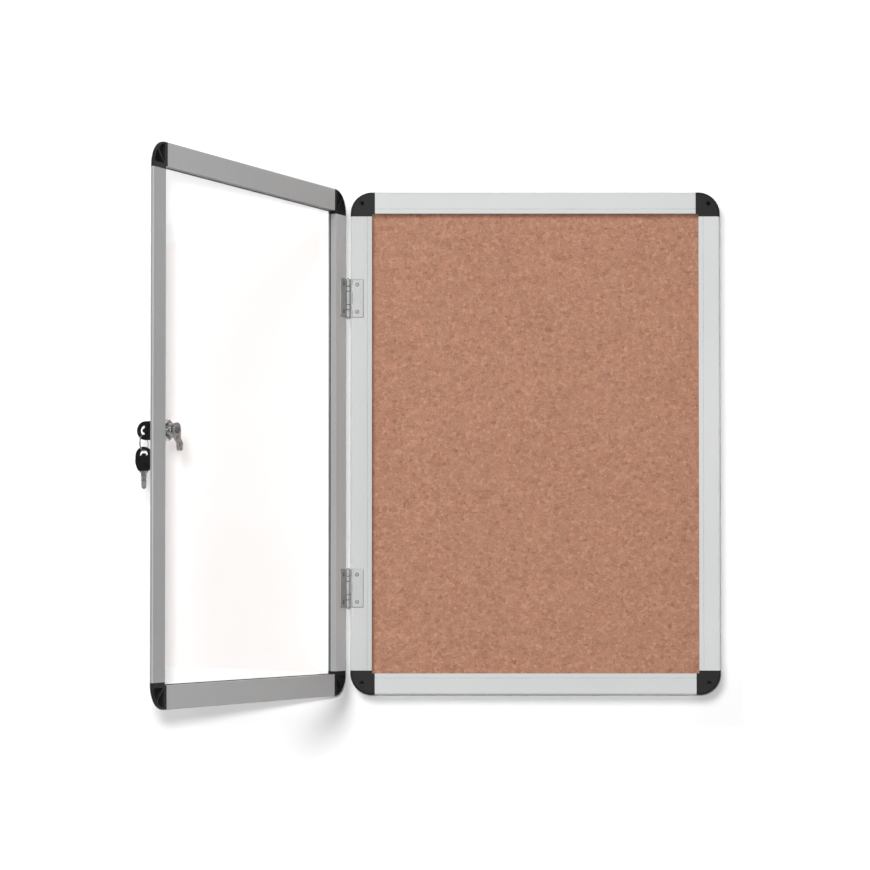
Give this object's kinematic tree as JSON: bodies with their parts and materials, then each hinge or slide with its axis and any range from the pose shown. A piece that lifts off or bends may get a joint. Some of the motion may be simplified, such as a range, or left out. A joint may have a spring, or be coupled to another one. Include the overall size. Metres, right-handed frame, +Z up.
{
  "type": "lockable notice board",
  "caption": "Wall-mounted cork notice board with a hinged clear-paned door, a cam lock and keys, in an extruded metal frame with moulded corners.",
  "frame": {"origin": "centre of the four wall fixing holes, on the back plane that meets the wall", "axes": "+X along the board's width away from the hinges, +Y into the wall, +Z up"},
  "size_m": [0.7478, 0.4749, 0.68],
  "materials": {
    "corner_plastic": "fine satin moulded black",
    "back_sheet": "thin plain galvanised sheet",
    "fibre_board": "pressed wood fibre",
    "cork": "fine granulated cork",
    "pane": "clear acrylic sheet",
    "gasket": "black soft strip",
    "anodised_frame": "natural matt anodised extrusion",
    "hinge_steel": "zinc plated pressed steel",
    "screw_steel": "zinc plated",
    "lock_metal": "plated zinc casting",
    "cam_steel": "plated pressed steel",
    "bow_plastic": "smooth black",
    "key_steel": "nickel plated blank",
    "ring_wire": "bright steel wire"
  },
  "bodies": {
    "wall_frame": {"back_sheet": "back_sheet", "base_bottom_rail": "anodised_frame", "base_corner_bottom_left": "corner_plastic", "base_corner_bottom_right": "corner_plastic", "base_corner_top_left": "corner_plastic", "base_corner_top_right": "corner_plastic", "base_hinge_stile": "anodised_frame", "base_lock_stile": "anodised_frame", "base_top_rail": "anodised_frame", "cork_sheet": "cork", "fibre_board": "fibre_board", "lower_hinge_pin": "hinge_steel", "lower_hinge_wall_leaf": "hinge_steel", "upper_hinge_pin": "hinge_steel", "upper_hinge_wall_leaf": "hinge_steel", "wall_leaf_screws": "screw_steel"},
    "door": {"door_bottom_rail": "anodised_frame", "door_corner_bottom_left": "corner_plastic", "door_corner_bottom_right": "corner_plastic", "door_corner_top_left": "corner_plastic", "door_corner_top_right": "corner_plastic", "door_hinge_stile": "anodised_frame", "door_leaf_screws": "screw_steel", "door_lock_stile": "anodised_frame", "door_pane": "pane", "door_top_rail": "anodised_frame", "gasket_bottom": "gasket", "gasket_hinge_side": "gasket", "gasket_lock_side": "gasket", "gasket_top": "gasket", "lock_body": "lock_metal", "lock_nut": "lock_metal", "lower_hinge_door_leaf": "hinge_steel", "upper_hinge_door_leaf": "hinge_steel"},
    "lock_plug": {"lock_plug": "lock_metal", "lock_cam": "cam_steel", "cam_screw": "screw_steel"},
    "key": {"key_blade": "key_steel", "key_bow": "bow_plastic"},
    "key_ring": {"key_ring": "ring_wire"},
    "spare_key": {"spare_key_blade": "key_steel", "spare_key_bow": "bow_plastic"}
  },
  "joints": [
    {"name": "door_swing", "type": "hinge", "parent": "wall_frame", "child": "door", "pos_m": [-0.2532, -0.0213, 0], "axis": [0, 0, -1], "range_deg": [-115.4, 57.5]},
    {"name": "lock_turn", "type": "hinge", "parent": "door", "child": "lock_plug", "pos_m": [-0.45091, -0.43465, -0.005], "axis": [-0.9033, 0.4289, 0], "range_deg": [0, 90]},
    {"name": "key_pull", "type": "slide", "parent": "lock_plug", "child": "key", "axis": [-0.9033, 0.4289, 0], "range_m": [0, 0.0195]},
    {"name": "ring_swing", "type": "hinge", "parent": "key", "child": "key_ring", "pos_m": [-0.48681, -0.41761, -0.01015], "axis": [-0.4289, -0.9033, 0], "range_deg": [-25, 15]},
    {"name": "spare_key_swing", "type": "hinge", "parent": "key_ring", "child": "spare_key", "pos_m": [-0.48681, -0.41761, -0.02915], "axis": [-0.4289, -0.9033, 0], "range_deg": [-45, 25]}
  ]
}
